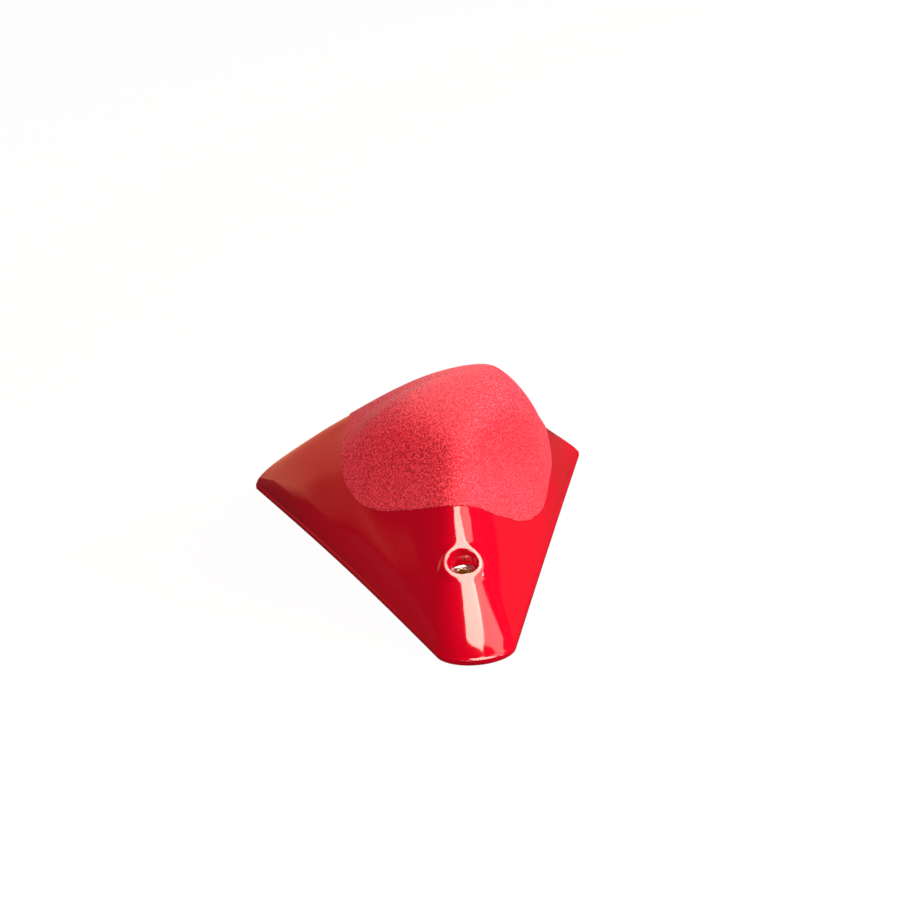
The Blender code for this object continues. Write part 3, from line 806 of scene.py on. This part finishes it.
def makeZinc():
    # Yellow passivated zinc on turned steel: straw gold with green and rose tints
    look = zincLook
    material, tree, shader, place = newMaterial("yellowZincPlate", Metallic=1.0, Roughness=0.28)
    tint = addNode(tree, "ShaderNodeTexNoise", {
        "Vector": place, "Scale": perMetre(look["tintSize"]), "Detail": 2.0})
    ramp = addNode(tree, "ShaderNodeValToRGB", {"Fac": tint.outputs["Fac"]})
    first, last = ramp.color_ramp.elements
    first.position, last.position = 0.35, 0.65
    first.color, last.color = linearColour(look["straw"]), linearColour(look["green"])
    middle = ramp.color_ramp.elements.new(0.52)
    middle.color = linearColour(look["rose"])
    tree.links.new(ramp.outputs["Color"], shader.inputs["Base Color"])
    marks = addNode(tree, "ShaderNodeTexWave", {
        "Vector": place, "Scale": perMetre(look["markGap"] / wavePeriod), "Distortion": 1.0},
        wave_type="BANDS", bands_direction="Z")
    bump = addNode(tree, "ShaderNodeBump", {
        "Height": marks.outputs["Fac"], "Strength": 0.2, "Distance": look["bumpHeight"]})
    tree.links.new(bump.outputs["Normal"], shader.inputs["Normal"])
    return material


turnedPiece("seat_washer", "washer", makeSteel(),
            turnedShape["washerRound"], turnedShape["washerDish"])
turnedPiece("steel_sleeve", "bolt_sleeve", makeZinc(), turnedShape["sleeveRound"])
print("washer and sleeve turned")


# Plywood: the frame's own block and ribs, with layered birch ply

plyLook = {
    "pale": "#D9BC8E", "brown": "#B58A58", "glue": "#7A5636", "veneer": 1.5 * mm, "wobbleSize": 16.7 * mm,
    "grainDepth": 1.111 * mm, "grainLength": 33.3 * mm, "grainWidth": 3.85 * mm, "bumpHeight": 0.3 * mm,
}


def makePly(name, across):
    # Birch plywood, sawn: pale cross-laid veneers with thin dark glue lines on every cut edge;
    # the veneers are stacked along the axis named by across
    look = plyLook
    material, tree, shader, place = newMaterial(name, Roughness=0.7, IOR=1.5)
    depth = addNode(tree, "ShaderNodeSeparateXYZ", {"Vector": place}).outputs[across]
    layer = addNode(tree, "ShaderNodeMath", {0: depth, 1: look["veneer"]}, operation="DIVIDE")
    wobble = addNode(tree, "ShaderNodeTexNoise", {"Vector": place, "Scale": perMetre(look["wobbleSize"])})
    shifted = addNode(tree, "ShaderNodeMath", {0: wobble.outputs["Fac"], 1: 0.25, 2: layer.outputs[0]},
                      operation="MULTIPLY_ADD")
    phase = addNode(tree, "ShaderNodeMath", {0: shifted.outputs[0]}, operation="FRACT")
    glue = addNode(tree, "ShaderNodeMapRange", {
        "Value": phase.outputs[0], "From Min": 0.0, "From Max": 0.14, "To Min": 1.0, "To Max": 0.0})

    # Every other veneer is turned, which makes it darker at a cut edge
    half = addNode(tree, "ShaderNodeMath", {0: shifted.outputs[0], 1: 0.5}, operation="MULTIPLY")
    halfPhase = addNode(tree, "ShaderNodeMath", {0: half.outputs[0]}, operation="FRACT")
    turned = addNode(tree, "ShaderNodeMath", {0: halfPhase.outputs[0], 1: 0.5}, operation="GREATER_THAN")
    deep, long, wide = [perMetre(look[size]) for size in ("grainDepth", "grainLength", "grainWidth")]
    stretch = {"X": (deep, long, wide), "Y": (long, deep, wide), "Z": (long, wide, deep)}[across]
    mapped = addNode(tree, "ShaderNodeMapping", {"Vector": place, "Scale": stretch})
    grain = addNode(tree, "ShaderNodeTexNoise", {
        "Vector": mapped.outputs["Vector"], "Scale": 1.0, "Detail": 4.0, "Roughness": 0.65})
    streak = addNode(tree, "ShaderNodeMath", {0: turned.outputs[0], 1: 0.35, 2: grain.outputs["Fac"]},
                     operation="MULTIPLY_ADD")
    wood = addNode(tree, "ShaderNodeMapRange", {
        "Value": streak.outputs[0], "From Min": 0.3, "From Max": 1.0})
    base = addNode(tree, "ShaderNodeMix", {
        "Factor": wood.outputs["Result"],
        "A": linearColour(look["pale"]), "B": linearColour(look["brown"])}, data_type="RGBA")
    final = addNode(tree, "ShaderNodeMix", {
        "Factor": glue.outputs["Result"],
        "A": base.outputs["Result"], "B": linearColour(look["glue"])}, data_type="RGBA")
    tree.links.new(final.outputs["Result"], shader.inputs["Base Color"])
    bump = addNode(tree, "ShaderNodeBump", {
        "Height": grain.outputs["Fac"], "Strength": 0.4, "Distance": look["bumpHeight"]})
    tree.links.new(bump.outputs["Normal"], shader.inputs["Normal"])
    return material


for name, across in (("rib_long", "X"), ("rib_left", "Y"), ("rib_right", "Y"), ("bolt_block", "Z")):
    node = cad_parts[name]
    node.data.materials.clear()
    node.data.materials.append(makePly("sawnBirchPly" + across + "_" + name, across))
print("plywood finished")


# Floor, lamps and camera

studio = {
    # Levels for plain light, for the camera, and for gloss, metal and glass
    "floorColour": "#382F2A", "floorLevels": (0.0, 0.965, 0.012), "floorHalf": 12, "floorDrop": 0.2 * mm,
    "worldColour": "#FFFFFF", "worldLevels": (0.38, 1.0, 0.02),
    # The white streak down the ridge
    "strip": {"at": (0.173, -0.028, 1.25), "aim": (0.173, -0.028, 0.0), "turn": -25.0,
              "size": (0.525, 0.73), "power": 23.5, "colour": "#FFF0DC", "glossOnly": True},
    # The light itself, strongest from the right
    "side": {"at": (0.80, -0.06, 1.20), "size": (0.56, 0.90), "power": 7.2, "colour": "#FFF0E4"},
    "key": {"at": (1.43, -0.44, 0.85), "size": (0.5, 0.5), "power": 42.0, "colour": "#FFFFFF"},
    "fill": {"at": (-0.88, -1.28, 0.75), "size": (0.8, 0.8), "power": 17.5, "colour": "#FFFFFF"},
    "window": {"at": (1.35, 1.0, 0.65), "size": (1.7, 1.1), "power": 26.0, "colour": "#FFFFFF",
               "softOnly": True},
}
# A glowing brown card behind the left corner, drawn in its own plane, that paints a brown reflection on the
# hold's left face; its near edge fades out
paintedReflectionCard = {
    "at": (-0.305, 0.463, 0.082), "across": (-0.290, -0.948, -0.135), "upward": (-0.947, 0.265, 0.182),
    "faded": ((0.262, -0.262), (0.292, -0.250), (0.280, -0.115), (0.085, 0.290)),
    "full": ((0.225, -0.250), (0.250, -0.235), (0.235, -0.125), (0.020, 0.250)),
    "rest": ((-0.10, 0.42), (-0.52, 0.42), (-0.52, -0.20), (-0.10, -0.30), (0.10, -0.285)),
    # The colour and strength of the glow that paints the reflection
    "colour": "#FFA07C", "level": 0.95,
}
# From the nose, a little to its left, 20 degrees up and tilted; angles in radians
cameraView = {
    "turn": 0.093, "lift": 0.357, "roll": 0.081, "target": (0.019, 0.0285, 0.0), "distance": 2.328,
    "aside": (-0.01347, 0.06315),           # it looks this far right of the target and above it
    "lens": 135.2, "sensor": 36, "clip": (0.05, 60),
}


def rayLevel(tree, levels):
    # One level for plain light, one for what the camera sees, one for gloss, metal and glass
    plain, seen, mirrored = levels
    path = addNode(tree, "ShaderNodeLightPath")
    mirror = addNode(tree, "ShaderNodeMath", {
        0: path.outputs["Is Glossy Ray"], 1: path.outputs["Is Transmission Ray"]}, operation="MAXIMUM")
    first = addNode(tree, "ShaderNodeMath", {0: path.outputs["Is Camera Ray"], 1: seen - plain, 2: plain},
                    operation="MULTIPLY_ADD")
    both = addNode(tree, "ShaderNodeMath", {0: mirror.outputs[0], 1: mirrored - plain, 2: first.outputs[0]},
                   operation="MULTIPLY_ADD")
    return both.outputs[0]


def makeFloor():
    # A pale sheet: the glow that the camera sees keeps it white round the shadow
    material, tree, shader, _ = newMaterial("paleFloor", Roughness=0.9, IOR=1.0)
    shader.inputs["Base Color"].default_value = linearColour(studio["floorColour"])
    shader.inputs["Emission Color"].default_value = (1, 1, 1, 1)
    tree.links.new(rayLevel(tree, studio["floorLevels"]), shader.inputs["Emission Strength"])
    half, drop = studio["floorHalf"], studio["floorDrop"]
    mesh = bpy.data.meshes.new("floor")
    corners = [(x * half, y * half, -drop) for x, y in ((-1, -1), (1, -1), (1, 1), (-1, 1))]
    mesh.from_pydata(corners, [], [(0, 1, 2, 3)])
    mesh.materials.append(material)
    floor = bpy.data.objects.new("floor", mesh)
    bpy.context.scene.collection.objects.link(floor)


def makePaintedReflectionCard():
    # Only gloss shows it, as a painted reflection; its glow runs out between its full edge and its faded one
    flat = np.array(paintedReflectionCard["faded"] + paintedReflectionCard["full"] + paintedReflectionCard["rest"])
    points = np.array(paintedReflectionCard["at"]) + flat[:, :1] * paintedReflectionCard["across"] + flat[:, 1:] * paintedReflectionCard["upward"]
    mesh = bpy.data.meshes.new("paintedReflectionCard")
    fading = [(0, 1, 5, 4), (1, 2, 6, 5), (2, 3, 7, 6)]
    mesh.from_pydata(points.tolist(), [], fading + [tuple(range(4, len(flat)))])
    glow = mesh.attributes.new("glow", "FLOAT", "POINT")
    glow.data.foreach_set("value", [0.0] * 4 + [paintedReflectionCard["level"]] * (len(flat) - 4))
    material, tree, shader, _ = newMaterial("brownPaintedReflection", Roughness=1.0, IOR=1.0)
    shader.inputs["Base Color"].default_value = (0, 0, 0, 1)
    shader.inputs["Emission Color"].default_value = linearColour(paintedReflectionCard["colour"])
    share = addNode(tree, "ShaderNodeAttribute", attribute_name="glow")
    tree.links.new(share.outputs["Fac"], shader.inputs["Emission Strength"])
    mesh.materials.append(material)
    piece = bpy.data.objects.new("paintedReflectionCard", mesh)
    piece.visible_camera = piece.visible_diffuse = piece.visible_shadow = False
    bpy.context.scene.collection.objects.link(piece)


def addLamp(name):
    # glossOnly shows in reflections and lights nothing, softOnly lights and shows in no gloss
    values = studio[name]
    data = bpy.data.lights.new(name, "AREA")
    data.shape = "RECTANGLE"
    data.size, data.size_y = values["size"]
    data.energy = values["power"]
    data.color = linearColour(values["colour"])[:3]
    lamp = bpy.data.objects.new(name, data)
    lamp.location = values["at"]
    towards = Vector(values.get("aim", (0, 0, 0.05))) - Vector(values["at"])
    spin = Quaternion((0, 0, 1), math.radians(values.get("turn", 0.0)))
    lamp.rotation_euler = (towards.to_track_quat("-Z", "Y") @ spin).to_euler()
    lamp.visible_diffuse = lamp.visible_camera = not values.get("glossOnly", False)
    lamp.visible_glossy = not values.get("softOnly", False)
    bpy.context.scene.collection.objects.link(lamp)


def makeWorld():
    # Even light from all round, at its own level for each kind of ray
    world = bpy.data.worlds.new("studio")
    world.use_nodes = True
    tree = world.node_tree
    back = tree.nodes["Background"]
    back.inputs["Color"].default_value = linearColour(studio["worldColour"])
    tree.links.new(rayLevel(tree, studio["worldLevels"]), back.inputs["Strength"])
    bpy.context.scene.world = world


def makeCamera():
    # Placed back from the target along its view, then aimed a little aside of it
    turn, lift, roll = cameraView["turn"], cameraView["lift"], cameraView["roll"]
    sideways = Vector((math.cos(turn), -math.sin(turn), 0))
    forward = Vector((math.sin(turn) * math.cos(lift), math.cos(turn) * math.cos(lift), -math.sin(lift)))
    upward = Vector((math.sin(turn) * math.sin(lift), math.cos(turn) * math.sin(lift), math.cos(lift)))
    right = sideways * math.cos(roll) - upward * math.sin(roll)
    up = sideways * math.sin(roll) + upward * math.cos(roll)
    target = Vector(cameraView["target"])
    place = target - forward * cameraView["distance"]
    asideRight, asideUp = cameraView["aside"]
    look = (target + right * asideRight + up * asideUp - place).normalized()
    right = look.cross(up).normalized()
    up = right.cross(look)
    data = bpy.data.cameras.new("camera")
    data.sensor_width, data.lens = cameraView["sensor"], cameraView["lens"]
    data.clip_start, data.clip_end = cameraView["clip"]
    camera = bpy.data.objects.new("camera", data)
    camera.matrix_world = Matrix((
        (right.x, up.x, -look.x, place.x), (right.y, up.y, -look.y, place.y),
        (right.z, up.z, -look.z, place.z), (0, 0, 0, 1)))
    bpy.context.scene.collection.objects.link(camera)
    bpy.context.scene.camera = camera


makeFloor()
makePaintedReflectionCard()
for lampName in ("strip", "side", "key", "fill", "window"):
    addLamp(lampName)
makeWorld()
makeCamera()
bpy.context.scene.view_settings.view_transform = "Standard"
print("studio ready")
